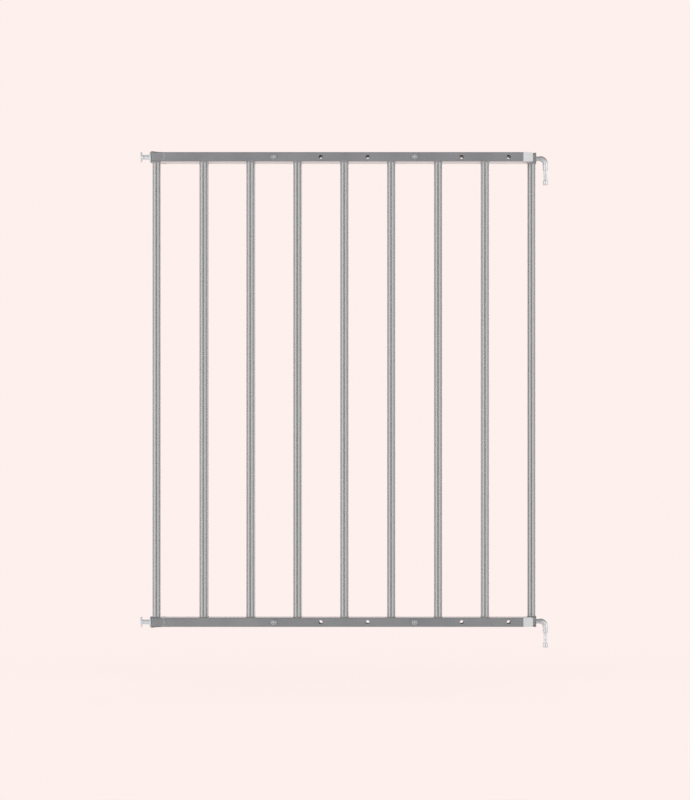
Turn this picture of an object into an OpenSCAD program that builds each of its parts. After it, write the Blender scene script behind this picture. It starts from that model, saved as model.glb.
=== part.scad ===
// Extending wall-mounted safety gate.
// Two welded bar panels lie one behind the other and slide apart to suit the doorway.
// The hinge panel carries two bent hinge pins, the lock panel two flanged lock studs.
// The origin is on the hinge axis, at the middle of the lower hinge pin's tip.
// X runs from the lock side to the hinge side, Y from the front to the back, Z up.

/* [Panels] */
// Height of a panel over both of its rails
panel_height = 722.3; // [600:1:900]
// Spacing of the bars, centre to centre
bar_pitch = 71.5; // [64:0.5:76]
// Number of bars in each panel
bar_count = 8; // [7:1:10]
// Distance from the outermost bar's centre to the rail's open end
end_overhang = 7; // [6.6:0.1:12]
// Distance from the innermost bar's centre to the rail's capped end
cap_overhang = 58.2; // [50:0.1:62]
// Gap between the front rail and the rear rail
panel_gap = 1.6; // [1.4:0.1:3]

/* [Rails] */
// Height of the rail tube
rail_height = 14.5; // [13:0.1:18]
// Depth of the rail tube, front to back
rail_depth = 14.5; // [14:0.1:20]
// Wall of the rail tube
rail_wall = 1.2; // [0.8:0.1:1.6]
// Radius on the rail tube's outer corners
rail_corner_r = 1.2; // [0.8:0.1:1.3]

/* [Formed rail ends] */
// Length over which the tube's four sides flare out to the mouth
form_length = 18; // [16:0.5:26]
// How far each side has flared out at the mouth
flare_rise = 1.5; // [1:0.1:1.9]
// Radius that the stretched corners have at the mouth
mouth_corner_r = 3; // [1.5:0.1:4]
// How far inside the tube's faces the flare starts
flare_start = 0.05; // [0.03:0.01:0.2]

/* [Bars] */
// Outside diameter of a bar
bar_d = 12.5; // [10:0.1:13.5]
// Wall of the bar tube
bar_wall = 0.8; // [0.6:0.1:1.5]

/* [Welds] */
// How far the weld round a bar's end stands out from the bar
weld_leg = 0.8; // [0.4:0.1:1]
// Height of the weld up the bar
weld_height = 2.2; // [1.2:0.1:3.5]

/* [Adjusting holes] */
// Diameter of the holes through the rails
hole_d = 6; // [5.6:0.1:7]
// First bay of the lock panel with a hole, counted from the lock side
first_hole_bay = 3; // [2:1:3]
// Bays from one clamp screw to the next
screw_bay_step = 3; // [1:1:3]

/* [Clamp screws] */
// Thread diameter of the clamp screws
screw_d = 5; // [4:0.5:5]
// Diameter of the pan head
screw_head_d = 9.2; // [8:0.1:11]
// Height of the pan head
screw_head_h = 2.4; // [2:0.1:4]
// Radius on the pan head's rim
screw_rim_r = 1.3; // [0.6:0.1:1.5]
// Width of the cross recess's slots
recess_slot = 1.1; // [0.8:0.1:1.4]
// Length of the cross recess's slots
recess_span = 4.8; // [4:0.1:6]
// Depth of the cross recess's slots
recess_depth = 1.2; // [0.8:0.1:1.6]
// Diameter of the cone in the middle of the recess
recess_cone_d = 2.6; // [1.8:0.1:3]
// Depth of the cone in the middle of the recess
recess_cone_depth = 1.9; // [1.6:0.1:2.2]
// Width of the cap nut across its flats
nut_flats = 8; // [7.5:0.1:10]
// Height of the cap nut's hexagon
nut_hex_h = 4; // [3:0.1:6]
// Diameter of the cap nut's dome
nut_dome_d = 7; // [6.6:0.1:7.4]
// Height of the straight part under the dome
nut_dome_h = 2; // [1:0.1:4]
// Gap between the screw's end and the bottom of the nut's thread
nut_end_gap = 1; // [0.5:0.1:2]

/* [End caps] */
// Length of cap that shows past the rail
cap_length = 14.6; // [12:0.1:20]
// Length of the cap's full-width rim against the rail
cap_rim = 2.8; // [2:0.1:3]
// How far each side of the cap leans in from the rim to the free end
cap_taper = 0.55; // [0.2:0.05:1]
// Radius on the cap's free edges
cap_edge_r = 2; // [1:0.1:3]
// Length of the spigot inside the rail
spigot_length = 16; // [10:0.5:18]
// Thickness of the spigot's fins
fin_thickness = 1.2; // [0.8:0.1:2]
// Number of fins on the spigot
fin_count = 4; // [2:1:5]
// Gap between a fin and the inside of the rail
fin_clearance = 0.05; // [0.02:0.01:0.2]
// How far the spigot's core lies below the fins
fin_height = 1.2; // [0.6:0.1:2]
// Running gap between a cap's glide rib and the other panel's rail
glide_clearance = 0.1; // [0.05:0.01:0.3]

/* [Threaded inserts] */
// Thread diameter of the studs and hinge pins
thread_d = 8; // [7:0.5:8.5]
// Length of the insert
insert_length = 14; // [10:0.5:18]
// Depth of the insert below the rail's mouth
insert_recess = 3; // [2:0.5:5]
// Gap between the insert and the inside of the flare
insert_clearance = 0.02; // [0.01:0.01:0.05]
// Running gap between a thread and its insert or nut
thread_clearance = 0.05; // [0.03:0.01:0.1]

/* [Lock studs] */
// Diameter of the stud's head
stud_head_d = 16; // [13:0.1:20]
// Thickness of the head
stud_head_rim = 1.7; // [1.4:0.1:3]
// Diameter of the plain neck
stud_neck_d = 7; // [6:0.1:7.9]
// Distance from the head to the collar
stud_neck_length = 10.3; // [8:0.1:14]
// Radius where the neck runs into the head
stud_fillet_r = 1.8; // [1:0.1:2.4]
// Height of the collar's dome
stud_collar_dome = 2.9; // [1.5:0.1:4]
// Diameter of the collar
stud_collar_d = 17.8; // [14:0.1:20]
// Thickness of the collar's rim
stud_collar_rim = 1; // [0.8:0.1:3]
// Gap between the collar and the rail's mouth
stud_standoff = 0.9; // [0.5:0.1:4]
// Length of thread inside the rail
stud_thread_length = 60; // [40:1:90]

/* [Hinge pins] */
// Distance from the rail's mouth to the hinge axis
pin_reach = 14.4; // [13:0.1:25]
// Diameter of the rod
pin_rod_d = 8.4; // [8.2:0.1:9]
// Diameter of the plain part between the thread and the bend
pin_plain_d = 7.2; // [6:0.1:7.9]
// Radius of the bend, at the rod's centre
pin_bend_r = 8; // [6:0.1:9]
// Drop from the rail's axis to the shoulder
pin_shoulder_drop = 17.5; // [14:0.1:30]
// Diameter of the necked part below the shoulder
pin_neck_d = 5.5; // [4.5:0.1:6.5]
// Length of the necked part
pin_neck_length = 16.1; // [8:0.1:25]
// Diameter of the tip
pin_tip_d = 8.2; // [7.6:0.1:9]
// Length of the tip
pin_tip_length = 6.4; // [4:0.1:12]
// Length of thread inside the rail
pin_thread_length = 38; // [25:1:40]

/* [Turned edges] */
// Chamfer on the edges of turned parts and tube mouths
edge_break = 0.5; // [0.3:0.1:0.6]

/* [Hidden] */
$fn = 96;
eps = 0.01;

paint = "#88898b";
cap_grey = "#d5d5d5";
zinc = "#c9cdd1";
bush_steel = "#a9adb2";

bar_r = bar_d / 2;
rail_length = end_overhang + (bar_count - 1) * bar_pitch + cap_overhang;
rail_spacing = panel_height - rail_height;
panel_offset = rail_depth + panel_gap;
inner_corner_r = max(rail_corner_r - rail_wall, 0.3);
weld_reach = min(weld_leg, rail_depth / 2 - bar_r);

// Distance from the rail's axis to the outside of its rounded corner, along the tube and at the mouth
reach = function(rise, corner_r)
    norm([rail_depth / 2 + rise - corner_r, rail_height / 2 + rise - corner_r]) + corner_r;
corner_reach = reach(0, rail_corner_r);
mouth_reach = reach(flare_rise, mouth_corner_r);

// Each side's arc runs from its start, just inside the tube's face, out to the mouth
arc_rise = flare_rise + flare_start;
flare_arc_r = (pow(form_length, 2) + pow(arc_rise, 2)) / (2 * arc_rise);
flare_steps = 1440; // the flare is a short piece of a large circle, so that circle needs many steps

pin_drop = pin_shoulder_drop + pin_neck_length + pin_tip_length;
lower_axis_z = pin_drop - (pin_tip_length + edge_break) / 2;
upper_axis_z = lower_axis_z + rail_spacing;

// X of the two panels' open rail ends, and of a bar in each panel
hinge_mouth_x = -pin_reach;
hinge_bar_x = function(i) hinge_mouth_x - end_overhang - (bar_count - i) * bar_pitch;
lock_mouth_x = hinge_mouth_x - 2 * end_overhang - bar_count * bar_pitch;
lock_bar_x = function(i) lock_mouth_x + end_overhang + (i - 1) * bar_pitch;

// Distances of the adjusting holes from the rail's open end
hole_x = function(bay) end_overhang + (bay - 0.5) * bar_pitch;
screw_bays = [first_hole_bay, first_hole_bay + screw_bay_step];

// ---------- placing ----------

// Turns a solid made along Z so that it lies along X
module along_x() {
    rotate([0, 90, 0]) children();
}

// Puts children made about a rail's open end on the lock panel
module on_lock_panel(axis_z) {
    translate([lock_mouth_x, -panel_offset, axis_z]) children();
}

// Puts children made about a rail's open end on the hinge panel, which is turned end for end
module on_hinge_panel(axis_z) {
    translate([hinge_mouth_x, 0, axis_z]) rotate([0, 0, 180]) children();
}

// ---------- rails ----------

// Rounded rectangle, inset from the rail's outline: depth along X, height along Y
module rail_outline(inset, corner_r) {
    w = rail_depth - 2 * inset;
    h = rail_height - 2 * inset;
    square([w - 2 * corner_r, h], center = true);
    square([w, h - 2 * corner_r], center = true);
    for (sx = [-1, 1], sy = [-1, 1])
        translate([sx * (w / 2 - corner_r), sy * (h / 2 - corner_r)])
            circle(r = corner_r);
}

// A length of square section between two distances from the rail's open end
module rail_section(inset, corner_r, from, to) {
    translate([from, 0, 0])
        rotate([90, 0, 90])
            linear_extrude(to - from)
                rail_outline(inset, corner_r);
}

// One view of the flare, from the side or from above: two hollow arcs that end in the tube's faces
module flare_outline(half, inset) {
    wide = half + flare_rise - inset;
    lip = edge_break;
    difference() {
        if (inset > 0)
            translate([-1, -wide]) square([form_length + 1, 2 * wide]);
        else
            polygon([
                [0, lip - wide], [lip, -wide], [form_length, -wide],
                [form_length, wide], [lip, wide], [0, wide - lip],
            ]);
        for (side = [-1, 1])
            translate([form_length, side * (half - flare_start + flare_arc_r)])
                circle(r = flare_arc_r + inset, $fn = flare_steps);
    }
}

// The flared square mouth, or the space in it when inset is the wall
module flare(inset) {
    corner_out = mouth_reach - inset;
    corner_in = corner_reach - inset + 0.1;
    intersection() {
        rotate([90, 0, 0])
            linear_extrude(2 * rail_depth, center = true) flare_outline(rail_height / 2, inset);
        linear_extrude(2 * rail_height, center = true)
            flare_outline(rail_depth / 2, inset);
        // a cone rounds the corners off more and more towards the mouth
        along_x()
            rotate_extrude()
                polygon([[0, -2], [corner_out, -2], [corner_out, 0], [corner_in, form_length], [0, form_length]]);
    }
}

// The outside of a rail as a solid
module rail_outside() {
    rail_section(0, rail_corner_r, edge_break, rail_length);
    flare(0);
}

module rail(first_bay) {
    color(paint)
        difference() {
            rail_outside();
            rail_section(rail_wall, inner_corner_r, -1, rail_length + 1);
            flare(rail_wall);
            for (bay = [first_bay : bar_count])
                translate([hole_x(bay), 0, 0])
                    rotate([90, 0, 0])
                        cylinder(d = hole_d, h = rail_depth + 2, center = true);
        }
}

// ---------- bars ----------

// A bar's tube, about the middle of its length
module bar_tube(length) {
    difference() {
        cylinder(r = bar_r, h = length, center = true);
        cylinder(r = bar_r - bar_wall, h = length + 2, center = true);
    }
}

// The weld round a bar's end: a hollow fillet that also fills in over the rail's rounded edge.
// The rail's top is at height zero.
module weld() {
    arc_r = (pow(weld_reach, 2) + pow(weld_height, 2)) / (2 * weld_reach);
    rotate_extrude()
        difference() {
            translate([bar_r - bar_wall, -rail_corner_r])
                square([weld_reach + bar_wall, weld_height + rail_corner_r]);
            translate([bar_r + arc_r, weld_height]) circle(r = arc_r);
        }
}

module welds() {
    for (turn = [0, 180])
        rotate([turn, 0, 0])
            translate([0, 0, (rail_height - rail_spacing) / 2])
                weld();
}

// A bar that stands square on both rails
module bar() {
    difference() {
        union() {
            bar_tube(rail_spacing - rail_height);
            welds();
        }
        for (side = [-1, 1])
            translate([0, 0, side * rail_spacing / 2])
                rail_section(0, rail_corner_r, -bar_pitch / 2, bar_pitch / 2);
    }
}

// The outermost bar, whose ends are coped to the flares of the rails
module end_bar() {
    difference() {
        union() {
            bar_tube(rail_spacing);
            welds();
        }
        for (side = [-1, 1])
            translate([-end_overhang, 0, side * rail_spacing / 2]) {
                rail_outside();
                // nothing of the weld stands past the mouth
                translate([-bar_r / 2, 0, 0])
                    cube([bar_r, 2 * rail_depth, 2 * rail_height], center = true);
            }
    }
}

module lock_bar(i) {
    color(paint)
        translate([lock_bar_x(i), -panel_offset, lower_axis_z + rail_spacing / 2])
            if (i == 1) end_bar();
            else bar();
}

module hinge_bar(i) {
    color(paint)
        translate([hinge_bar_x(i), 0, lower_axis_z + rail_spacing / 2])
            rotate([0, 0, 180])
                if (i == bar_count) end_bar();
                else bar();
}

// ---------- end caps ----------

// A cap's plan or side outline, leaning in from its rim, with its two free corners rounded
module cap_outline(width) {
    lean = atan(cap_taper / (cap_length - cap_rim));
    corner_x = cap_length - cap_edge_r;
    corner_y = width / 2 - (corner_x - cap_rim) * tan(lean) - cap_edge_r / cos(lean);
    for (side = [-1, 1]) {
        polygon([
            [-1, 0],
            [-1, side * width / 2],
            [cap_rim, side * width / 2],
            [corner_x + cap_edge_r * sin(lean), side * (corner_y + cap_edge_r * cos(lean))],
            [corner_x, side * corner_y],
            [cap_length, side * corner_y],
            [cap_length, 0],
        ]);
        translate([corner_x, side * corner_y]) circle(r = cap_edge_r);
    }
}

// Moulded cap that closes a rail's inner end and glides on the other panel's rail
module end_cap() {
    rib = panel_gap - glide_clearance;
    fin_pitch = (spigot_length - fin_thickness) / fin_count;
    color(cap_grey)
        translate([rail_length, 0, 0]) {
            intersection() {
                rotate([90, 0, 90])
                    linear_extrude(cap_length)
                        rail_outline(0, rail_corner_r);
                linear_extrude(rail_height + 2, center = true)
                    cap_outline(rail_depth);
                rotate([90, 0, 0])
                    linear_extrude(rail_depth + 2, center = true)
                        cap_outline(rail_height);
            }
            // glide rib
            translate([0, rail_depth / 2 - eps, 0])
                rotate([-90, 0, 0])
                    linear_extrude(rib + eps)
                        translate([0, rail_corner_r - rail_height / 2])
                            square([cap_rim, rail_height - 2 * rail_corner_r]);
            // spigot with its fins
            rotate([90, 0, 90])
                translate([0, 0, -spigot_length])
                    linear_extrude(spigot_length + eps)
                        rail_outline(rail_wall + fin_height, inner_corner_r);
            for (i = [0 : fin_count - 1])
                rotate([90, 0, 90])
                    translate([0, 0, i * fin_pitch - spigot_length])
                        linear_extrude(fin_thickness)
                            rail_outline(rail_wall + fin_clearance, inner_corner_r);
        }
}

// ---------- turned parts ----------

// Square threaded bush pressed into a rail's flare
module insert() {
    hole_r = thread_d / 2 + thread_clearance;
    corner_r = corner_reach - rail_wall - edge_break;
    foot = insert_recess + insert_length;
    color(bush_steel)
        intersection() {
            flare(rail_wall + insert_clearance);
            along_x()
                rotate_extrude()
                    polygon([
                        [hole_r + edge_break, insert_recess],
                        [corner_r, insert_recess],
                        [corner_r, foot],
                        [hole_r + edge_break, foot],
                        [hole_r, foot - edge_break],
                        [hole_r, insert_recess + edge_break],
                    ]);
        }
}

// Flanged stud whose head drops into a slotted wall bracket
module lock_stud() {
    head_r = stud_head_d / 2;
    neck_r = stud_neck_d / 2;
    collar_r = stud_collar_d / 2;
    shank_r = thread_d / 2;
    collar_front = -stud_standoff - stud_collar_rim;
    dome_top = collar_front - stud_collar_dome;
    head_back = dome_top - stud_neck_length;
    head_face = head_back - stud_head_rim;
    // the dome is part of a sphere that meets the neck and the collar's rim
    dome_centre = (pow(collar_r, 2) + pow(stud_collar_dome, 2) - pow(neck_r, 2)) / (2 * stud_collar_dome);
    color(zinc)
        along_x()
            rotate_extrude() {
                difference() {
                    polygon([
                        [0, head_face],
                        [head_r - edge_break, head_face],
                        [head_r, head_face + edge_break],
                        [head_r, head_back],
                        [neck_r + stud_fillet_r, head_back],
                        [neck_r + stud_fillet_r, head_back + stud_fillet_r],
                        [neck_r, head_back + stud_fillet_r],
                        [neck_r, collar_front],
                        [collar_r, collar_front],
                        [collar_r, -stud_standoff],
                        [shank_r, -stud_standoff],
                        [shank_r, stud_thread_length - 2 * edge_break],
                        [shank_r - 2 * edge_break, stud_thread_length],
                        [0, stud_thread_length],
                    ]);
                    translate([neck_r + stud_fillet_r, head_back + stud_fillet_r])
                        circle(r = stud_fillet_r);
                }
                intersection() {
                    translate([0, dome_top]) square([collar_r, stud_collar_dome + stud_collar_rim]);
                    translate([0, dome_top + dome_centre])
                        circle(r = norm([neck_r, dome_centre]));
                }
            }
}

// Rod bent down to a necked pivot, with its thread in the rail
module hinge_pin() {
    rod_r = pin_rod_d / 2;
    neck_top = pin_shoulder_drop;
    neck_foot = neck_top + pin_neck_length;
    cone_length = (pin_rod_d - pin_plain_d) / 2;
    color(zinc)
        translate([pin_reach, 0, 0]) {
            // thread, plain part and the cone up to the bend
            along_x()
                rotate_extrude()
                    polygon([
                        [0, -pin_reach - pin_thread_length],
                        [thread_d / 2 - 2 * edge_break, -pin_reach - pin_thread_length],
                        [thread_d / 2, -pin_reach - pin_thread_length + 2 * edge_break],
                        [thread_d / 2, -pin_reach],
                        [pin_plain_d / 2, -pin_reach + edge_break],
                        [pin_plain_d / 2, -pin_bend_r - cone_length],
                        [rod_r, -pin_bend_r],
                        [0, -pin_bend_r],
                    ]);
            translate([-pin_bend_r, 0, -pin_bend_r])
                rotate([90, 0, 0])
                    rotate_extrude(angle = 90)
                        translate([pin_bend_r, 0])
                            circle(r = rod_r);
            // shoulder, neck and tip
            rotate_extrude()
                polygon([
                    [0, -pin_bend_r],
                    [rod_r, -pin_bend_r],
                    [rod_r, edge_break - neck_top],
                    [rod_r - edge_break, -neck_top],
                    [pin_neck_d / 2, -neck_top],
                    [pin_neck_d / 2, -neck_foot],
                    [pin_tip_d / 2, -neck_foot],
                    [pin_tip_d / 2, edge_break - pin_drop],
                    [pin_tip_d / 2 - edge_break, -pin_drop],
                    [0, -pin_drop],
                ]);
        }
}

// ---------- clamp screws and nuts ----------

// Repeats children at each clamp screw, with Z pointing out of the front rail's face
module at_clamp_screws() {
    for (axis_z = [lower_axis_z, upper_axis_z], bay = screw_bays)
        on_lock_panel(axis_z)
            translate([hole_x(bay), -rail_depth / 2, 0])
                rotate([90, 0, 0])
                    children();
}

module clamp_screw() {
    head_r = screw_head_d / 2;
    shank = 2 * rail_depth + panel_gap + nut_hex_h + nut_dome_h - nut_end_gap;
    difference() {
        rotate_extrude() {
            square([head_r, screw_head_h - screw_rim_r]);
            square([head_r - screw_rim_r, screw_head_h]);
            intersection() {
                translate([head_r - screw_rim_r, screw_head_h - screw_rim_r]) circle(r = screw_rim_r);
                square([head_r, screw_head_h]);
            }
            translate([0, -shank]) square([screw_d / 2, shank + eps]);
        }
        for (turn = [0, 90])
            rotate([0, 0, turn])
                translate([0, 0, screw_head_h])
                    cube([recess_span, recess_slot, 2 * recess_depth], center = true);
        translate([0, 0, screw_head_h - recess_cone_depth])
            cylinder(d1 = recess_slot, d2 = recess_cone_d, h = recess_cone_depth + eps);
    }
}

// Domed cap nut with a blind thread
module cap_nut() {
    hex_r = nut_flats / sqrt(3);
    dome_r = nut_dome_d / 2;
    bore_depth = nut_hex_h + nut_dome_h;
    difference() {
        union() {
            translate([0, 0, -nut_hex_h]) cylinder(r = hex_r, h = nut_hex_h, $fn = 6);
            translate([0, 0, -bore_depth]) cylinder(r = dome_r, h = bore_depth);
            translate([0, 0, -bore_depth]) sphere(r = dome_r);
        }
        translate([0, 0, -bore_depth])
            cylinder(r = screw_d / 2 + thread_clearance, h = bore_depth + 1);
    }
}

module clamp_screws() {
    color(zinc) at_clamp_screws() clamp_screw();
}

module clamp_nuts() {
    color(zinc)
        at_clamp_screws()
            translate([0, 0, -2 * rail_depth - panel_gap])
                cap_nut();
}

// ---------- the gate ----------

on_hinge_panel(upper_axis_z) rail(1);  // hinge_top_rail
on_hinge_panel(lower_axis_z) rail(1);  // hinge_bottom_rail
for (i = [1 : bar_count])
    hinge_bar(i);
on_hinge_panel(upper_axis_z) end_cap();  // hinge_top_cap
on_hinge_panel(lower_axis_z) end_cap();  // hinge_bottom_cap
on_hinge_panel(upper_axis_z) insert();  // hinge_top_insert
on_hinge_panel(lower_axis_z) insert();  // hinge_bottom_insert
on_lock_panel(upper_axis_z) rail(first_hole_bay);  // lock_top_rail
on_lock_panel(lower_axis_z) rail(first_hole_bay);  // lock_bottom_rail
for (i = [1 : bar_count])
    lock_bar(i);
on_lock_panel(upper_axis_z) end_cap();  // lock_top_cap
on_lock_panel(lower_axis_z) end_cap();  // lock_bottom_cap
on_lock_panel(upper_axis_z) insert();  // lock_top_insert
on_lock_panel(lower_axis_z) insert();  // lock_bottom_insert
clamp_screws();
clamp_nuts();
on_lock_panel(upper_axis_z) lock_stud();  // upper_lock_stud
on_lock_panel(lower_axis_z) lock_stud();  // lower_lock_stud
translate([hinge_mouth_x, 0, upper_axis_z]) hinge_pin();  // upper_hinge_pin
translate([hinge_mouth_x, 0, lower_axis_z]) hinge_pin();  // lower_hinge_pin
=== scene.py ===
# %% [markdown]
# # An extending metal safety gate
# Two welded panels of round bars lie one behind the other and slide apart to suit a doorway. The
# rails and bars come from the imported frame, where every node already has its place. This lesson
# gives each surface its finish, turns the studs and pins with real threads, and lights the gate in
# a pale studio.

# %% Load the frame
import bpy
import math
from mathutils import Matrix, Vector


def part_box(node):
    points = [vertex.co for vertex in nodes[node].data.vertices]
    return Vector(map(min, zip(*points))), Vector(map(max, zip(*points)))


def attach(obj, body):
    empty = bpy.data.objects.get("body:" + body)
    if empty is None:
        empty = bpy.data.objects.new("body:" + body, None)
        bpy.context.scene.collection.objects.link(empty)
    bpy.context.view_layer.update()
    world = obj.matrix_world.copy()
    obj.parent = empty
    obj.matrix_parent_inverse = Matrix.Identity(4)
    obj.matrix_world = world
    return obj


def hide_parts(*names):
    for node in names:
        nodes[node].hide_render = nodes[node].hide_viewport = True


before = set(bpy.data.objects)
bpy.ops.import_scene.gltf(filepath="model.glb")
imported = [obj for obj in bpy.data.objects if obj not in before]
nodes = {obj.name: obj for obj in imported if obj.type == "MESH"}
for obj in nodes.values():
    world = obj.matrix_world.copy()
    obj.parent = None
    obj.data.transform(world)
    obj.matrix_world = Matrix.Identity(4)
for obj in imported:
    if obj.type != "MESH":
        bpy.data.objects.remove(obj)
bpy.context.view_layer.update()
MM = 0.001

# %% [markdown]
# ## Measuring the frame
# Nothing is placed by eye. The rails' axes, the open ends of the tubes and the hinge axis are read
# from the nodes, so that a finish or a new piece follows the frame if a size changes.

# %% Rail axes and mouths
def middle_of(name):
    low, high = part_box(name)
    return [(a + b) / 2 for a, b in zip(low, high)]

LOWER_Z = middle_of("hinge_bottom_rail")[2]
UPPER_Z = middle_of("hinge_top_rail")[2]
LOCK_Y = middle_of("lock_bar_2")[1]
HINGE_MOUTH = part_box("hinge_top_rail")[1][0]
LOCK_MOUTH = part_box("lock_top_rail")[0][0]
BAR_X = middle_of("hinge_bar_1")[0]
PITCH = middle_of("hinge_bar_2")[0] - BAR_X
SPACING = UPPER_Z - LOWER_Z
print("rail axes at", round(LOWER_Z / MM, 2), round(UPPER_Z / MM, 2), "mm")
print("bar pitch", round(PITCH / MM, 2), "mm")
print("mouths at", round(LOCK_MOUTH / MM, 2), round(HINGE_MOUTH / MM, 2), "mm")

# %% [markdown]
# ## Colour
# Paint charts give colours as sRGB hex values, but shaders work in linear light. One function turns
# the one into the other, so every colour below can be read off a swatch.

# %% Hex to linear
def linear(hex_colour):
    parts = [int(hex_colour[i:i + 2], 16) / 255 for i in (1, 3, 5)]
    return [c / 12.92 if c <= 0.04045 else ((c + 0.055) / 1.055) ** 2.4 for c in parts] + [1.0]

PALE = linear("#fdf0ed")
print("pale backdrop in linear light", [round(c, 3) for c in PALE[:3]])

# %% [markdown]
# ## Adding a node
# Every material below is a small node tree. One function adds a node, sets its values and makes its
# links, so that a tree reads as a list of what feeds what.

# %% One node at a time
def add_node(tree, kind, values=None, links=None, **settings):
    node = tree.nodes.new(kind)
    for name, value in settings.items():
        setattr(node, name, value)
    for name, value in (values or {}).items():
        node.inputs[name].default_value = value
    for name, source in (links or {}).items():
        tree.links.new(source, node.inputs[name])
    return node

def new_material(name):
    material = bpy.data.materials.new(name)
    material.use_nodes = True
    material.node_tree.nodes.clear()
    return material

def finish_material(material, shader):
    tree = material.node_tree
    add_node(tree, "ShaderNodeOutputMaterial", links={"Surface": shader.outputs[0]})
    print("material", material.name, len(tree.nodes), "nodes")
    return material

# %% [markdown]
# ## Distance from the gate's own grid
# The four rails and sixteen bars repeat on a grid: every rail axis is one rail spacing or one panel
# offset from the next, and every bar is one pitch from the next. Wrapping the object coordinates
# on that grid gives each point its place about its own rail or bar, so one material can ripple a
# weld or deepen the grey of an edge wherever the piece is. The distance from the middle of a bay, on
# a rail's axis, finds the holes and the screws, which all stand there.

# %% Wrapped coordinates
def wrapped_place(tree):
    coords = add_node(tree, "ShaderNodeTexCoord")
    parts = add_node(tree, "ShaderNodeSeparateXYZ", links={0: coords.outputs["Object"]})
    place = {"where": coords.outputs["Object"],
             "whole x": parts.outputs["X"], "whole y": parts.outputs["Y"]}
    grid = (("x", "X", BAR_X, PITCH), ("bay x", "X", BAR_X + PITCH / 2, PITCH),
            ("y", "Y", 0.0, abs(LOCK_Y)), ("z", "Z", LOWER_Z, SPACING))
    for name, axis, centre, step in grid:
        shift = add_node(tree, "ShaderNodeMath", {1: centre}, {0: parts.outputs[axis]},
                         operation="SUBTRACT")
        wrapped = add_node(tree, "ShaderNodeMath", {1: step / 2, 2: -step / 2},
                           {0: shift.outputs[0]}, operation="WRAP")
        place[name] = wrapped.outputs[0]
    for name in ("y", "z"):
        far = add_node(tree, "ShaderNodeMath", links={0: place[name]}, operation="ABSOLUTE")
        place["far " + name] = far.outputs[0]
    return place

def bay_distance(tree, place):
    flat = add_node(tree, "ShaderNodeCombineXYZ", links={"X": place["bay x"], "Y": place["z"]})
    length = add_node(tree, "ShaderNodeVectorMath", links={0: flat.outputs[0]}, operation="LENGTH")
    return length.outputs["Value"]

# %% [markdown]
# ## Powder coat
# Rails and bars are steel, phosphated and sprayed with a grey polyester powder that holds a little
# aluminium flake, then baked. To the eye that is a smooth semi-gloss grey with a faint orange peel
# about 2 mm from crest to crest, a touch of metallic depth, and slow drifts of tone where the powder
# lay thicker. The first function starts such a coat and the second closes it, so that rails and bars
# can each add what is their own in between.

# %% Powder coat
PEEL_SIZE = 2.2 * MM
DRIFT_SIZE = 45 * MM
PEEL_HEIGHT = 0.02 * MM

def powder_start(name, colour, dark, stretch):
    material = new_material(name)
    tree = material.node_tree
    place = wrapped_place(tree)
    along = add_node(tree, "ShaderNodeMapping", {"Scale": stretch}, {"Vector": place["where"]})
    peel = add_node(tree, "ShaderNodeTexNoise",
                    {"Scale": 1 / PEEL_SIZE, "Detail": 1.0, "Roughness": 0.4},
                    {"Vector": along.outputs[0]})
    drift = add_node(tree, "ShaderNodeTexNoise", {"Scale": 1 / DRIFT_SIZE, "Detail": 3.0},
                     {"Vector": along.outputs[0]})
    tone = add_node(tree, "ShaderNodeMapRange", {"From Min": 0.3, "From Max": 0.7},
                    {"Value": drift.outputs[0]})
    paint = add_node(tree, "ShaderNodeMix", {"A": linear(dark), "B": linear(colour)},
                     {"Factor": tone.outputs[0]}, data_type="RGBA")
    return material, place, peel.outputs[0], tone.outputs[0], paint.outputs["Result"]

def powder_finish(material, paint, tone, height, metallic, smooth, rough, coat):
    tree = material.node_tree
    gloss = add_node(tree, "ShaderNodeMapRange", {"To Min": smooth, "To Max": rough}, {"Value": tone})
    bump = add_node(tree, "ShaderNodeBump", {"Strength": 0.45, "Distance": PEEL_HEIGHT},
                    {"Height": height})
    shader = add_node(tree, "ShaderNodeBsdfPrincipled",
                      {"IOR": 1.5, "Metallic": metallic,
                       "Coat Weight": coat, "Coat Roughness": 0.08, "Coat IOR": 1.5},
                      {"Base Color": paint, "Roughness": gloss.outputs[0], "Normal": bump.outputs[0]})
    return finish_material(material, shader)

# %% [markdown]
# ## Rails
# A rail is square tube. Along its rounded edges the grey is painted a little deeper, a painted shade
# that tones down the light those edges catch. Inside the tube the steel is bare and dark, and its near
# black is painted shade as well, and the walls of its holes are painted near black as the shade in them.
# Where the flared end starts, the press that opened the tube has left a soft bowed ridge
# across each face, about 20 mm from the mouth.

# %% Rail paint
MID_X = (LOCK_MOUTH + HINGE_MOUTH) / 2
HALF_LENGTH = (HINGE_MOUTH - LOCK_MOUTH) / 2
# the ridge: how far in from the mouth, how strongly it bows per metre, half its width, its height
MARK_AT = 21 * MM
MARK_BOW = 57.0
MARK_REACH = 2.2 * MM
MARK_HEIGHT = 12.0
# where the near black goes: inside the tube, dark bare steel that is also painted shade, and the walls
# of the holes below the outer face, painted shade
INSIDE_FROM, INSIDE_TO = 6.5 * MM, 6.8 * MM
BELOW_FACE = 7.15 * MM
HOLE_R = 3.0 * MM
# painted shade along the rounded edges, found by the sum of both distances from the tube's axis
EDGE_SHADE_FROM, EDGE_SHADE_TO = 12.9 * MM, 13.7 * MM

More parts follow.
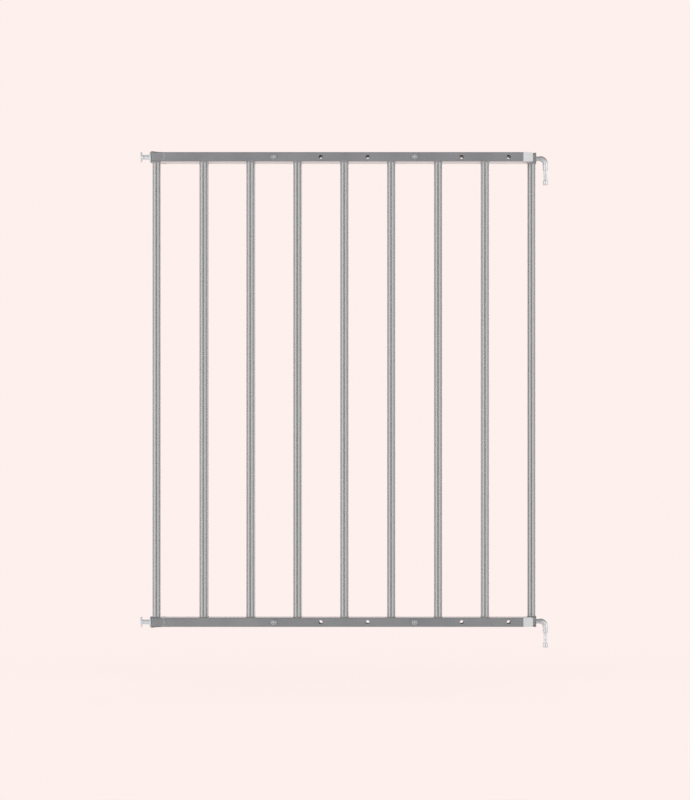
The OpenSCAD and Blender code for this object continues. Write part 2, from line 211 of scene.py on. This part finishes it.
def press_mark(tree, place, peel):
    # the front panel's mouths are on the left and the rear panel's on the right
    along = add_node(tree, "ShaderNodeMath", {1: MID_X}, {0: place["whole x"]}, operation="SUBTRACT")
    side = add_node(tree, "ShaderNodeMath", {1: LOCK_Y / 2}, {0: place["whole y"]},
                    operation="SUBTRACT")
    panel = add_node(tree, "ShaderNodeMath", links={0: side.outputs[0]}, operation="SIGN")
    towards = add_node(tree, "ShaderNodeMath", links={0: along.outputs[0], 1: panel.outputs[0]},
                       operation="MULTIPLY")
    depth = add_node(tree, "ShaderNodeMath", {0: HALF_LENGTH - MARK_AT}, {1: towards.outputs[0]},
                     operation="SUBTRACT")
    square = add_node(tree, "ShaderNodeMath", {1: 2.0}, {0: place["far z"]}, operation="POWER")
    bowed = add_node(tree, "ShaderNodeMath", {1: MARK_BOW}, {0: square.outputs[0], 2: depth.outputs[0]},
                     operation="MULTIPLY_ADD")
    off = add_node(tree, "ShaderNodeMath", links={0: bowed.outputs[0]}, operation="ABSOLUTE")
    mark = add_node(tree, "ShaderNodeMapRange",
                    {"From Min": 0.0, "From Max": MARK_REACH, "To Min": MARK_HEIGHT, "To Max": 0.0},
                    {"Value": off.outputs[0]}, interpolation_type="SMOOTHSTEP")
    return add_node(tree, "ShaderNodeMath", links={0: mark.outputs[0], 1: peel}).outputs[0]

# near black inside the tube, where the bare steel is also painted shade, and on the walls of the holes,
# which is painted shade
def bare_inside_and_painted_hole_shade(tree, place):
    deepest = add_node(tree, "ShaderNodeMath", links={0: place["far y"], 1: place["far z"]},
                       operation="MAXIMUM")
    inside = add_node(tree, "ShaderNodeMapRange",
                      {"From Min": INSIDE_FROM, "From Max": INSIDE_TO, "To Min": 1.0, "To Max": 0.0},
                      {"Value": deepest.outputs[0]})
    hole = add_node(tree, "ShaderNodeMapRange",
                    {"From Min": HOLE_R + 0.02 * MM, "From Max": HOLE_R + 0.1 * MM,
                     "To Min": 1.0, "To Max": 0.0},
                    {"Value": bay_distance(tree, place)})
    below_face = add_node(tree, "ShaderNodeMath", {1: BELOW_FACE}, {0: place["far y"]},
                          operation="LESS_THAN")
    wall = add_node(tree, "ShaderNodeMath", links={0: hole.outputs[0], 1: below_face.outputs[0]},
                    operation="MULTIPLY")
    return add_node(tree, "ShaderNodeMath", links={0: inside.outputs[0], 1: wall.outputs[0]},
                    operation="MAXIMUM").outputs[0]

material, place, peel, tone, paint = powder_start(
    "powder_coated_square_tube", "#adb0b3", "#a7aaad", (1, 1, 1))
tree = material.node_tree
corner = add_node(tree, "ShaderNodeMath", links={0: place["far y"], 1: place["far z"]})
# painted shade: the rounded edges get a deeper grey, which tones down the light they catch
painted_edge_shade = add_node(tree, "ShaderNodeMapRange",
                {"From Min": EDGE_SHADE_FROM, "From Max": EDGE_SHADE_TO, "To Max": 0.9},
                {"Value": corner.outputs[0]}, interpolation_type="SMOOTHSTEP")
edge_shaded = add_node(tree, "ShaderNodeMix", {"B": linear("#97999c")},
                 {"Factor": painted_edge_shade.outputs[0], "A": paint}, data_type="RGBA")
# painted shade: the inside of the tube and the walls of the holes go near black
inside_and_holes_darkened = add_node(tree, "ShaderNodeMix", {"B": linear("#1b1b1c")},
                  {"Factor": bare_inside_and_painted_hole_shade(tree, place), "A": edge_shaded.outputs["Result"]}, data_type="RGBA")
rail_paint = powder_finish(material, inside_and_holes_darkened.outputs["Result"], tone, press_mark(tree, place, peel),
                           metallic=0.42, smooth=0.2, rough=0.27, coat=0.9)

# %% [markdown]
# ## Bars
# The bars are thin round tube in the same powder. Drawn tube keeps faint lines along its length,
# which show through the paint as slow waves in the bright streaks, so the peel is stretched along
# the bar. At each end a bar is welded to its rail, and the weld's ripples, about 1 mm apart round
# the bar, lie under the paint. They are a sine wave round the bar's own axis, and the peel's noise
# makes them uneven.

# %% Bar paint
# distances from a rail's axis between which the ripples fade out, and how many go round a bar
WELD_FROM, WELD_TO = 8.4 * MM, 9.6 * MM
RIPPLES = 38.0
# how far the peel's noise shifts a ripple, and how much of the peel itself is left on a bar
UNEVEN = 5.0
PEEL_SHARE = 0.35

def weld_ripple(tree, place, peel):
    near = add_node(tree, "ShaderNodeMapRange",
                    {"From Min": WELD_FROM, "From Max": WELD_TO, "To Min": 2.0, "To Max": 0.0},
                    {"Value": place["far z"]}, interpolation_type="SMOOTHSTEP")
    turn = add_node(tree, "ShaderNodeMath", links={0: place["y"], 1: place["x"]}, operation="ARCTAN2")
    count = add_node(tree, "ShaderNodeMath", {1: RIPPLES}, {0: turn.outputs[0]}, operation="MULTIPLY")
    phase = add_node(tree, "ShaderNodeMath", {1: UNEVEN}, {0: peel, 2: count.outputs[0]},
                     operation="MULTIPLY_ADD")
    ripple = add_node(tree, "ShaderNodeMath", links={0: phase.outputs[0]}, operation="SINE")
    weak_peel = add_node(tree, "ShaderNodeMath", {1: PEEL_SHARE}, {0: peel}, operation="MULTIPLY")
    height = add_node(tree, "ShaderNodeMath",
                      links={0: ripple.outputs[0], 1: near.outputs[0], 2: weak_peel.outputs[0]},
                      operation="MULTIPLY_ADD")
    return height.outputs[0]

material, place, peel, tone, paint = powder_start(
    "powder_coated_drawn_tube", "#9a9d9e", "#95989a", (1, 1, 0.06))
bar_paint = powder_finish(material, paint, tone, weld_ripple(material.node_tree, place, peel),
                          metallic=0.47, smooth=0.23, rough=0.3, coat=0.4)

# %% [markdown]
# ## Moulded end caps
# The caps are injection moulded polypropylene in a light grey. The mould was spark eroded, which
# leaves a matt grain of about 0.4 mm, drawn here at 0.8 mm so that it shows. The plastic is slightly
# uneven in tone where it flowed, and a fine parting line runs round the middle of its depth.

# %% Cap plastic
GRAIN_SIZE = 0.8 * MM
FLOW_SIZE = 14 * MM
LINE_FROM, LINE_TO = 0.12 * MM, 0.3 * MM
SCATTER = (1.5 * MM, 1.5 * MM, 1.5 * MM)

def moulded_plastic(name, colour, shade):
    material = new_material(name)
    tree = material.node_tree
    place = wrapped_place(tree)
    grain = add_node(tree, "ShaderNodeTexNoise", {"Scale": 1 / GRAIN_SIZE, "Detail": 2.0},
                     {"Vector": place["where"]})
    flow = add_node(tree, "ShaderNodeTexNoise",
                    {"Scale": 1 / FLOW_SIZE, "Detail": 2.0, "Distortion": 0.6},
                    {"Vector": place["where"]})
    body = add_node(tree, "ShaderNodeMix", {"A": linear(shade), "B": linear(colour)},
                    {"Factor": flow.outputs[0]}, data_type="RGBA")
    line = add_node(tree, "ShaderNodeMapRange",
                    {"From Min": LINE_FROM, "From Max": LINE_TO, "To Min": 1.5, "To Max": 0.0},
                    {"Value": place["far y"]}, interpolation_type="SMOOTHSTEP")
    height = add_node(tree, "ShaderNodeMath", links={0: line.outputs[0], 1: grain.outputs[0]})
    bump = add_node(tree, "ShaderNodeBump", {"Strength": 0.35, "Distance": 0.05 * MM},
                    {"Height": height.outputs[0]})
    gloss = add_node(tree, "ShaderNodeMapRange", {"To Min": 0.42, "To Max": 0.54},
                     {"Value": grain.outputs[0]})
    shader = add_node(tree, "ShaderNodeBsdfPrincipled",
                      {"IOR": 1.49, "Subsurface Weight": 0.06, "Subsurface Radius": SCATTER},
                      {"Base Color": body.outputs["Result"], "Roughness": gloss.outputs[0],
                       "Normal": bump.outputs[0]})
    return finish_material(material, shader)

cap_plastic = moulded_plastic("moulded_polypropylene", "#ebeff0", "#e5e8e9")

# %% [markdown]
# ## Zinc plate
# Studs, pins, screws and bushes are turned mild steel with bright zinc plating and a clear blue
# passivate. That is a light, faintly blue metal, softer in its reflections than chrome, with
# crystals a millimetre or two across that differ a little in tone, hints of straw colour where the
# passivate lies thicker, and the fine rings that the lathe tool left, about 0.3 mm apart. On the
# pins the rings run down the necked part, and on the studs along their axis, so the direction of
# the pattern is a value of its own. The studs and pins are drawn a little less metallic than bare
# zinc, which keeps them light against a pale backdrop.

# %% Zinc
CRYSTAL_SIZE = 1.6 * MM
HAZE_SIZE = 5 * MM
RING_SPACING = 0.3 * MM
# the rings change along one axis and hardly at all along the others
ALONG_X, ALONG_Y, ALONG_Z = (1, 0.02, 0.02), (0.02, 1, 0.02), (0.02, 0.02, 1)

def zinc_start(name, blue, straw, ring_way):
    material = new_material(name)
    tree = material.node_tree
    place = wrapped_place(tree)
    crystals = add_node(tree, "ShaderNodeTexVoronoi", {"Scale": 1 / CRYSTAL_SIZE},
                        {"Vector": place["where"]})
    haze = add_node(tree, "ShaderNodeTexNoise", {"Scale": 1 / HAZE_SIZE, "Detail": 3.0},
                    {"Vector": place["where"]})
    tint = add_node(tree, "ShaderNodeMapRange", {"From Min": 0.45, "From Max": 0.75},
                    {"Value": haze.outputs[0]})
    metal = add_node(tree, "ShaderNodeMix", {"A": linear(blue), "B": linear(straw)},
                     {"Factor": tint.outputs[0]}, data_type="RGBA")
    spangle = add_node(tree, "ShaderNodeSeparateXYZ", links={0: crystals.outputs["Color"]})
    share = add_node(tree, "ShaderNodeMapRange", {"To Min": 0.9, "To Max": 1.0},
                     {"Value": spangle.outputs[0]})
    shade = add_node(tree, "ShaderNodeVectorMath",
                     links={0: metal.outputs["Result"], "Scale": share.outputs[0]}, operation="SCALE")
    along = add_node(tree, "ShaderNodeMapping", {"Scale": ring_way}, {"Vector": place["where"]})
    rings = add_node(tree, "ShaderNodeTexNoise", {"Scale": 1 / RING_SPACING, "Detail": 1.0},
                     {"Vector": along.outputs[0]})
    return material, place, shade.outputs[0], spangle.outputs[1], rings.outputs[0]

def zinc_finish(material, colour, spangle, rings, roughness, values=None, links=None):
    tree = material.node_tree
    gloss = add_node(tree, "ShaderNodeMapRange",
                     {"To Min": roughness - 0.06, "To Max": roughness + 0.06}, {"Value": spangle})
    bump = add_node(tree, "ShaderNodeBump", {"Strength": 0.15, "Distance": 0.02 * MM},
                    {"Height": rings})
    feeds = {"Base Color": colour, "Roughness": gloss.outputs[0], "Normal": bump.outputs[0]}
    shader = add_node(tree, "ShaderNodeBsdfPrincipled", values, {**feeds, **(links or {})})
    return finish_material(material, shader)

def plain_zinc(name, blue, straw, ring_way, metallic, roughness):
    material, place, colour, spangle, rings = zinc_start(name, blue, straw, ring_way)
    return zinc_finish(material, colour, spangle, rings, roughness, {"Metallic": metallic})

stud_zinc = plain_zinc("turned_steel_bright_zinc", "#e6eef3", "#e6ebec", ALONG_X, 0.6, 0.5)
pin_zinc = plain_zinc("bent_rod_bright_zinc", "#ced4d8", "#cfd1cf", ALONG_Z, 0.9, 0.45)
bush_zinc = plain_zinc("machined_bush_zinc", "#b4b9be", "#b3b3ae", ALONG_X, 1.0, 0.34)

# %% [markdown]
# ## Clamp screws
# The clamp screws and cap nuts have the same zinc. In the middle of each cross recess a white, nearly
# non-metallic spot is a painted highlight, which the eye takes as a small light spot in a grey head.

# %% Screw zinc
# the painted highlight in each cross recess fades out between these distances from the screw's axis
HIGHLIGHT_FROM, HIGHLIGHT_TO = 1.0 * MM, 1.7 * MM

material, place, colour, spangle, rings = zinc_start(
    "cold_headed_screw_zinc", "#aeb3b8", "#adaeaa", ALONG_Y)
tree = material.node_tree
# painted highlight: white and nearly non-metallic in the middle of the recess
painted_highlight = add_node(tree, "ShaderNodeMapRange",
                  {"From Min": HIGHLIGHT_FROM, "From Max": HIGHLIGHT_TO, "To Min": 1.0, "To Max": 0.0},
                  {"Value": bay_distance(tree, place)}, interpolation_type="SMOOTHSTEP")
bright = add_node(tree, "ShaderNodeMix", {"B": linear("#ffffff")},
                  {"Factor": painted_highlight.outputs[0], "A": colour}, data_type="RGBA")
metallic = add_node(tree, "ShaderNodeMapRange", {"To Min": 0.7, "To Max": 0.1},
                    {"Value": painted_highlight.outputs[0]})
screw_zinc = zinc_finish(material, bright.outputs["Result"], spangle, rings, 0.42,
                         links={"Metallic": metallic.outputs[0]})

# %% [markdown]
# ## Giving the frame's nodes their finish
# Each node of the frame carries one material slot. Its plain stand-in is cleared and the real
# finish takes its place.

# %% Finishes on nodes
def finish_for(name):
    if name.endswith("_rail"):
        return rail_paint
    if "_bar_" in name:
        return bar_paint
    if name.endswith("_cap"):
        return cap_plastic
    return screw_zinc if name.startswith("clamp") else bush_zinc

for name, obj in nodes.items():
    obj.data.materials.clear()
    obj.data.materials.append(finish_for(name))
print("finished", len(nodes), "nodes")

# %% [markdown]
# ## Working a ring
# Studs and pins are turned from round bar. A lathe part can be drawn ring by ring: start from a
# circle, extrude it to the next place and resize it to the next radius. Two small helpers do just
# that, and a third closes the ends, turns the normals out and smooths all but the sharp edges.

# %% Rings
SIDES = 48

def start_ring(name, place, radius, turn):
    bpy.ops.object.select_all(action="DESELECT")
    bpy.ops.mesh.primitive_circle_add(vertices=SIDES, radius=radius * MM, location=place, rotation=turn)
    piece = bpy.context.active_object
    piece.name = name
    piece.data.name = name
    bpy.ops.object.mode_set(mode="EDIT")
    bpy.ops.mesh.select_all(action="SELECT")
    return piece

def next_ring(centre, move, growth, along):
    bpy.ops.mesh.extrude_region_move(TRANSFORM_OT_translate={"value": move})
    reached = [c + m for c, m in zip(centre, move)]
    resize = [1.0 if i == along else growth for i in range(3)]
    bpy.ops.transform.resize(value=resize, center_override=reached)
    return reached

SHARP_ANGLE = 32

def close_piece(piece):
    bpy.ops.mesh.select_all(action="SELECT")
    bpy.ops.mesh.remove_doubles(threshold=0.001 * MM)
    bpy.ops.mesh.select_all(action="SELECT")
    bpy.ops.mesh.fill_holes(sides=0)
    bpy.ops.mesh.select_all(action="SELECT")
    bpy.ops.mesh.normals_make_consistent(inside=False)
    bpy.ops.object.mode_set(mode="OBJECT")
    bpy.ops.object.transform_apply(location=True, rotation=True, scale=True)
    bpy.ops.object.shade_smooth_by_angle(angle=math.radians(SHARP_ANGLE))
    print(piece.name, len(piece.data.vertices), "vertices")

# %% [markdown]
# ## The rolled thread
# Studs and pins have an M8 thread of 1.25 mm pitch. The Screw modifier makes it as a thread-rolling
# die does: one tooth's outline, root, flank, crest and flank, is swept round the axis and moves on
# by one pitch each turn. Neighbouring turns share their root line, so merging doubles makes one
# skin.

# %% Thread
# millimetres, as are all the outlines below; the core lies just under the thread's root
THREAD_PITCH = 1.25
CREST_R = 4.0
ROOT_R = 3.36
CORE_R = 3.3
TOOTH_TOP = THREAD_PITCH / 8
TOOTH_GAP = THREAD_PITCH / 4
FLANK = (THREAD_PITCH - TOOTH_TOP - TOOTH_GAP) / 2
DEPTH = CREST_R - ROOT_R
THREAD_STEPS = 24

def rolled_thread(name, start_x, y, z, turns):
    bpy.ops.object.select_all(action="DESELECT")
    bpy.ops.mesh.primitive_plane_add(size=MM, location=(start_x * MM, y, z))
    piece = bpy.context.active_object
    piece.name = name
    bpy.ops.object.mode_set(mode="EDIT")
    bpy.ops.mesh.select_all(action="SELECT")
    bpy.ops.mesh.merge(type="CENTER")
    bpy.ops.transform.translate(value=(0, 0, ROOT_R * MM))
    for dx, dz in ((TOOTH_GAP, 0), (FLANK, DEPTH), (TOOTH_TOP, 0), (FLANK, -DEPTH)):
        bpy.ops.mesh.extrude_vertices_move(TRANSFORM_OT_translate={"value": (dx * MM, 0, dz * MM)})
    bpy.ops.object.mode_set(mode="OBJECT")
    screw = piece.modifiers.new("thread", "SCREW")
    screw.axis = "X"
    screw.angle = math.tau
    screw.screw_offset = THREAD_PITCH * MM
    screw.iterations = turns
    screw.steps = THREAD_STEPS
    screw.render_steps = THREAD_STEPS
    bpy.ops.object.modifier_apply(modifier="thread")
    bpy.ops.object.mode_set(mode="EDIT")
    close_piece(piece)
    return piece

def join_pieces(main, other):
    bpy.ops.object.select_all(action="DESELECT")
    other.select_set(True)
    main.select_set(True)
    bpy.context.view_layer.objects.active = main
    bpy.ops.object.join()
    return main

# %% [markdown]
# ## The lock studs
# A stud has a flat head that drops into a slotted wall bracket, a slim neck, and a domed collar that
# covers the tube's mouth. A turned piece from ring to ring follows the real one: a centre mark from
# the lathe in the head's face, broken edges, a round fillet behind the head and a spherical dome.

# %% Stud rings
# places along the stud count from the rail's mouth, outwards is negative
HEAD_FACE, HEAD_BACK, HEAD_R = -16.8, -15.1, 8.0
STUD_NECK_R = 3.5
FILLET_R = 1.8
FILLET_STEPS = 6
# the dome is part of a sphere that starts at the neck and ends at the collar's rim
DOME_R, DOME_MIDDLE, DOME_RIM_R = 13.458, 8.195, 8.78
DOME_STEPS = 8
COLLAR_FRONT, COLLAR_BACK, COLLAR_R = -1.8, -0.9, 8.9
STUD_END = 60.0
STUD_THREAD_FROM, STUD_TURNS = -1.4, 47

def stud_outline():
    # centre mark, flat face, broken front edge, rim and broken back edge of the head
    rings = [(HEAD_FACE + 0.35, 0.7), (HEAD_FACE, 1.15), (HEAD_FACE, HEAD_R - 0.6),
             (HEAD_FACE + 0.15, HEAD_R - 0.22), (HEAD_FACE + 0.5, HEAD_R), (HEAD_BACK - 0.3, HEAD_R),
             (HEAD_BACK - 0.08, HEAD_R - 0.1), (HEAD_BACK, HEAD_R - 0.3)]
    for step in range(FILLET_STEPS + 1):
        turn = math.radians(90 * step / FILLET_STEPS)
        rings.append((HEAD_BACK + FILLET_R - FILLET_R * math.cos(turn),
                      STUD_NECK_R + FILLET_R - FILLET_R * math.sin(turn)))
    for step in range(DOME_STEPS + 1):
        r = STUD_NECK_R + (DOME_RIM_R - STUD_NECK_R) * step / DOME_STEPS
        rings.append((DOME_MIDDLE - math.sqrt(DOME_R ** 2 - r ** 2), r))
    # the collar's rim and back, then the core of the thread with its chamfered end
    rings += [(COLLAR_FRONT, COLLAR_R), (COLLAR_BACK - 0.15, COLLAR_R),
              (COLLAR_BACK, COLLAR_R - 0.18), (COLLAR_BACK, CORE_R),
              (STUD_END - 1.1, CORE_R), (STUD_END, 2.4)]
    return rings

def lock_stud(name, z):
    rings = stud_outline()
    x, r = rings[0]
    centre = [LOCK_MOUTH + x * MM, LOCK_Y, z]
    piece = start_ring(name, centre, r, (0, math.radians(90), 0))
    for next_x, next_r in rings[1:]:
        centre = next_ring(centre, ((next_x - x) * MM, 0, 0), next_r / r, 0)
        x, r = next_x, next_r
    close_piece(piece)
    thread = rolled_thread(name + "_thread", LOCK_MOUTH / MM + STUD_THREAD_FROM, LOCK_Y, z, STUD_TURNS)
    return join_pieces(piece, thread)

for level, z in (("upper", UPPER_Z), ("lower", LOWER_Z)):
    stud = lock_stud("turned_" + level + "_lock_stud", z)
    stud.data.materials.clear()
    stud.data.materials.append(stud_zinc)
    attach(stud, level + "_lock_stud_body")
    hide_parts(level + "_lock_stud")

# %% [markdown]
# ## The hinge pins
# A pin is one rod: threaded at the end that screws into the rail, bent through a right angle, and
# turned down to a neck and a tip that drop into the wall bracket. The ring that makes the rod is
# spun about the bend's centre, as a bending tool would do, and then goes on downwards.

# %% Pin rings
# the rod lies along X into the bend and hangs along Z from it, both counted from the hinge axis
ROD_R = 4.2
BEND_R = 8.0
BEND_STEPS = 18
PIN_END = -52.4
RELIEF_FROM, RELIEF_TO, RELIEF_R = -14.1, -8.9, 3.6
SHOULDER, PIN_NECK_R = -17.5, 2.75
TIP_TOP, TIP_END, TIP_R = -33.6, -40.0, 4.1
PIN_THREAD_FROM, PIN_TURNS = -52.3, 29

# chamfered end, core of the thread, relief behind it, and a rounded step up to the full rod
ROD_RINGS = [(PIN_END, 2.5), (PIN_END + 0.8, CORE_R), (RELIEF_FROM - 0.3, CORE_R),
             (RELIEF_FROM, RELIEF_R), (RELIEF_TO, RELIEF_R), (RELIEF_TO + 0.2, RELIEF_R + 0.04),
             (RELIEF_TO + 0.7, ROD_R - 0.12), (-BEND_R, ROD_R)]
# shoulder with a broken edge, filleted neck, and the tip with both its edges broken
DROP_RINGS = [(SHOULDER + 0.6, ROD_R), (SHOULDER + 0.2, ROD_R - 0.15), (SHOULDER, ROD_R - 0.5),
              (SHOULDER, PIN_NECK_R + 0.25), (SHOULDER - 0.2, PIN_NECK_R + 0.05),
              (SHOULDER - 0.5, PIN_NECK_R), (TIP_TOP + 0.3, PIN_NECK_R),
              (TIP_TOP + 0.1, PIN_NECK_R + 0.05), (TIP_TOP, PIN_NECK_R + 0.25),
              (TIP_TOP, TIP_R - 0.25), (TIP_TOP - 0.25, TIP_R), (TIP_END + 0.6, TIP_R),
              (TIP_END + 0.2, TIP_R - 0.15), (TIP_END, TIP_R - 0.5)]

def hinge_pin(name, z):
    x, r = ROD_RINGS[0]
    centre = [x * MM, 0.0, z]
    piece = start_ring(name, centre, r, (0, math.radians(90), 0))
    for next_x, next_r in ROD_RINGS[1:]:
        centre = next_ring(centre, ((next_x - x) * MM, 0, 0), next_r / r, 0)
        x, r = next_x, next_r
    bend_middle = (-BEND_R * MM, 0, z - BEND_R * MM)
    bpy.ops.mesh.spin(steps=BEND_STEPS, angle=math.radians(90), center=bend_middle, axis=(0, -1, 0))
    centre = [0.0, 0.0, z - BEND_R * MM]
    depth, r = -BEND_R, ROD_R
    for next_depth, next_r in DROP_RINGS:
        centre = next_ring(centre, (0, 0, (next_depth - depth) * MM), next_r / r, 2)
        depth, r = next_depth, next_r
    close_piece(piece)
    thread = rolled_thread(name + "_thread", PIN_THREAD_FROM, 0.0, z, PIN_TURNS)
    return join_pieces(piece, thread)

for level, z in (("upper", UPPER_Z), ("lower", LOWER_Z)):
    pin = hinge_pin("bent_" + level + "_hinge_pin", z)
    pin.data.materials.clear()
    pin.data.materials.append(pin_zinc)
    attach(pin, level + "_hinge_pin_body")
    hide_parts(level + "_hinge_pin")

# %% [markdown]
# ## Camera
# The camera stands a little below the middle of the gate, level and square to it, so the bars stay
# upright, and the frame is shifted instead of the camera being tilted.

# %% Camera
scene = bpy.context.scene
camera_data = bpy.data.cameras.new("camera")
camera_data.lens = 100.0
camera_data.sensor_width = 36.0
camera_data.clip_end = 100
camera = bpy.data.objects.new("camera", camera_data)
scene.collection.objects.link(camera)
scene.camera = camera
camera.location = (-0.1990, -3.402, 0.2705)
camera.rotation_euler = (math.radians(90), 0, 0)
camera_data.shift_x = -0.088
camera_data.shift_y = 0.0855
print("camera", camera_data.lens, "mm lens at", [round(v, 4) for v in camera.location])

# %% [markdown]
# ## Surroundings
# The backdrop is pale to the camera and to reflections, and a weaker plain white lights everything
# else, so paint renders about as it is written. Light Path tells the two kinds of ray apart, and
# the floor uses the same function. Metal that mirrored a pale ceiling would lose its upper edge, so
# reflections that look up find a dimmer one.

# %% World
scene.view_settings.view_transform = "Standard"
world = bpy.data.worlds.new("studio")
scene.world = world
world.use_nodes = True
tree = world.node_tree
tree.nodes.clear()

def seen_directly(tree):
    paths = add_node(tree, "ShaderNodeLightPath")
    first = add_node(tree, "ShaderNodeMath", links={0: paths.outputs["Is Camera Ray"],
                     1: paths.outputs["Is Glossy Ray"]}, operation="MAXIMUM")
    both = add_node(tree, "ShaderNodeMath", links={0: first.outputs[0],
                    1: paths.outputs["Is Transmission Ray"]}, operation="MAXIMUM")
    return both.outputs[0], paths.outputs["Is Glossy Ray"]

WORLD_FILL = 0.42
CEILING_LEVEL = 0.45
direct, glossy = seen_directly(tree)
fill = add_node(tree, "ShaderNodeBackground", {"Color": (1, 1, 1, 1), "Strength": WORLD_FILL})
sky = add_node(tree, "ShaderNodeTexCoord")
rise = add_node(tree, "ShaderNodeSeparateXYZ", links={0: sky.outputs["Generated"]})
high = add_node(tree, "ShaderNodeMapRange",
                {"From Min": 0.25, "From Max": 0.6, "To Min": 1.0, "To Max": CEILING_LEVEL},
                {"Value": rise.outputs["Z"]}, interpolation_type="SMOOTHSTEP")
ceiling = add_node(tree, "ShaderNodeMix", {"A": 1.0}, {"Factor": glossy, "B": high.outputs[0]})
backdrop = add_node(tree, "ShaderNodeBackground", {"Color": PALE},
                    {"Strength": ceiling.outputs["Result"]})
mix = add_node(tree, "ShaderNodeMixShader",
               links={"Fac": direct, 1: fill.outputs[0], 2: backdrop.outputs[0]})
add_node(tree, "ShaderNodeOutputWorld", links={"Surface": mix.outputs[0]})
print("world", len(tree.nodes), "nodes")

# %% [markdown]
# ## Softboxes
# Two large softboxes stand left and right of the camera. On a round bar that gives two bright
# streaks with a dark line in the middle, which is how the eye reads a gloss tube. Two weaker ones
# behind the gate brighten the bars' edges and light the back. A softbox is given by its radiance,
# so its streak stays as bright when its size is changed.

# %% Softboxes
CENTRE_X, CENTRE_Y = -0.3, 0.0
LAMP_DISTANCE = 6
LAMP_HEIGHT = 0.6

def softbox(name, azimuth, width, tall, radiance):
    data = bpy.data.lights.new(name, "AREA")
    data.shape = "RECTANGLE"
    data.size = width
    data.size_y = tall
    data.energy = radiance * math.pi * width * tall
    lamp = bpy.data.objects.new(name, data)
    scene.collection.objects.link(lamp)
    turn = math.radians(azimuth)
    target = Vector((CENTRE_X, CENTRE_Y, LAMP_HEIGHT))
    place = target + LAMP_DISTANCE * Vector((math.sin(turn), -math.cos(turn), 0))
    lamp.location = place
    lamp.rotation_euler = (target - place).to_track_quat("-Z", "Y").to_euler()
    lamp.visible_camera = False
    print("softbox", name, round(data.energy, 1), "W")

softbox("left_softbox", -52, 6.1, 5.0, 1.4)
softbox("right_softbox", 44, 6.4, 5.0, 1.2)
softbox("left_back_softbox", -130, 3.0, 4.0, 0.6)
softbox("right_back_softbox", 130, 3.0, 4.0, 1.0)

# %% [markdown]
# ## The dark card
# A product studio puts a dark card in front of its pale walls, so that gloss surfaces have something
# dark to mirror. Here it stands behind the camera and is seen by reflections only.

# %% Dark card behind the camera
def stage_plane(name, size, place, turn):
    bpy.ops.object.select_all(action="DESELECT")
    bpy.ops.mesh.primitive_plane_add(size=1, location=place, rotation=turn)
    plane = bpy.context.active_object
    plane.name = name
    plane.scale = (size[0], size[1], 1)
    bpy.ops.object.transform_apply(location=True, rotation=True, scale=True)
    return plane

CARD_GREY = 0.2
card = stage_plane("dark_card", (3.0, 4.0), (CENTRE_X, -5.5, 0.4), (math.radians(90), 0, 0))
card.visible_camera = False
card.visible_diffuse = False
card.visible_shadow = False
card_grey = new_material("dark_card_grey")
dim = add_node(card_grey.node_tree, "ShaderNodeEmission",
               {"Color": (CARD_GREY, CARD_GREY, CARD_GREY, 1), "Strength": 1.0})
card.data.materials.append(finish_material(card_grey, dim))

# %% [markdown]
# ## The floor
# A share of the floor's colour is real light, which carries the gate's soft shadow, and the rest
# glows evenly. The share fades out away from the gate, so that floor and backdrop meet without a
# line. Other rays than the camera's and reflections find a plain matt floor.

# %% Floor
FLOOR_PLACE = (CENTRE_X, 0, -0.06)
floor = stage_plane("floor", (30, 30), FLOOR_PLACE, (0, 0, 0))
floor.visible_glossy = False
floor.visible_shadow = False
floor_pale = new_material("pale_floor")
tree = floor_pale.node_tree
# the share of real light under the gate, how much of it the glow gives up, and where it fades out
FLOOR_SHARE = 0.45
FLOOR_LEVEL = 0.52
FADE_FROM, FADE_TO = 0.3, 1.2
coords = add_node(tree, "ShaderNodeTexCoord")
centred = add_node(tree, "ShaderNodeMapping", {"Location": [-c for c in FLOOR_PLACE]},
                   {"Vector": coords.outputs["Object"]})
away = add_node(tree, "ShaderNodeVectorMath", links={0: centred.outputs[0]}, operation="LENGTH")
share = add_node(tree, "ShaderNodeMapRange",
                 {"From Min": FADE_FROM, "From Max": FADE_TO, "To Min": FLOOR_SHARE, "To Max": 0.0},
                 {"Value": away.outputs["Value"]}, interpolation_type="SMOOTHSTEP")
rest = add_node(tree, "ShaderNodeMath", {1: -FLOOR_LEVEL, 2: 1.0}, {0: share.outputs[0]},
                operation="MULTIPLY_ADD")
glow = add_node(tree, "ShaderNodeEmission", {"Color": PALE}, {"Strength": rest.outputs[0]})
nothing = add_node(tree, "ShaderNodeEmission", {"Strength": 0.0})
lit = add_node(tree, "ShaderNodeBsdfDiffuse", {"Color": PALE})
shadowed = add_node(tree, "ShaderNodeMixShader",
                    links={"Fac": share.outputs[0], 1: nothing.outputs[0], 2: lit.outputs[0]})
seen = add_node(tree, "ShaderNodeAddShader", links={0: glow.outputs[0], 1: shadowed.outputs[0]})
direct, _ = seen_directly(tree)
mix = add_node(tree, "ShaderNodeMixShader", links={"Fac": direct, 1: lit.outputs[0], 2: seen.outputs[0]})
floor.data.materials.append(finish_material(floor_pale, mix))
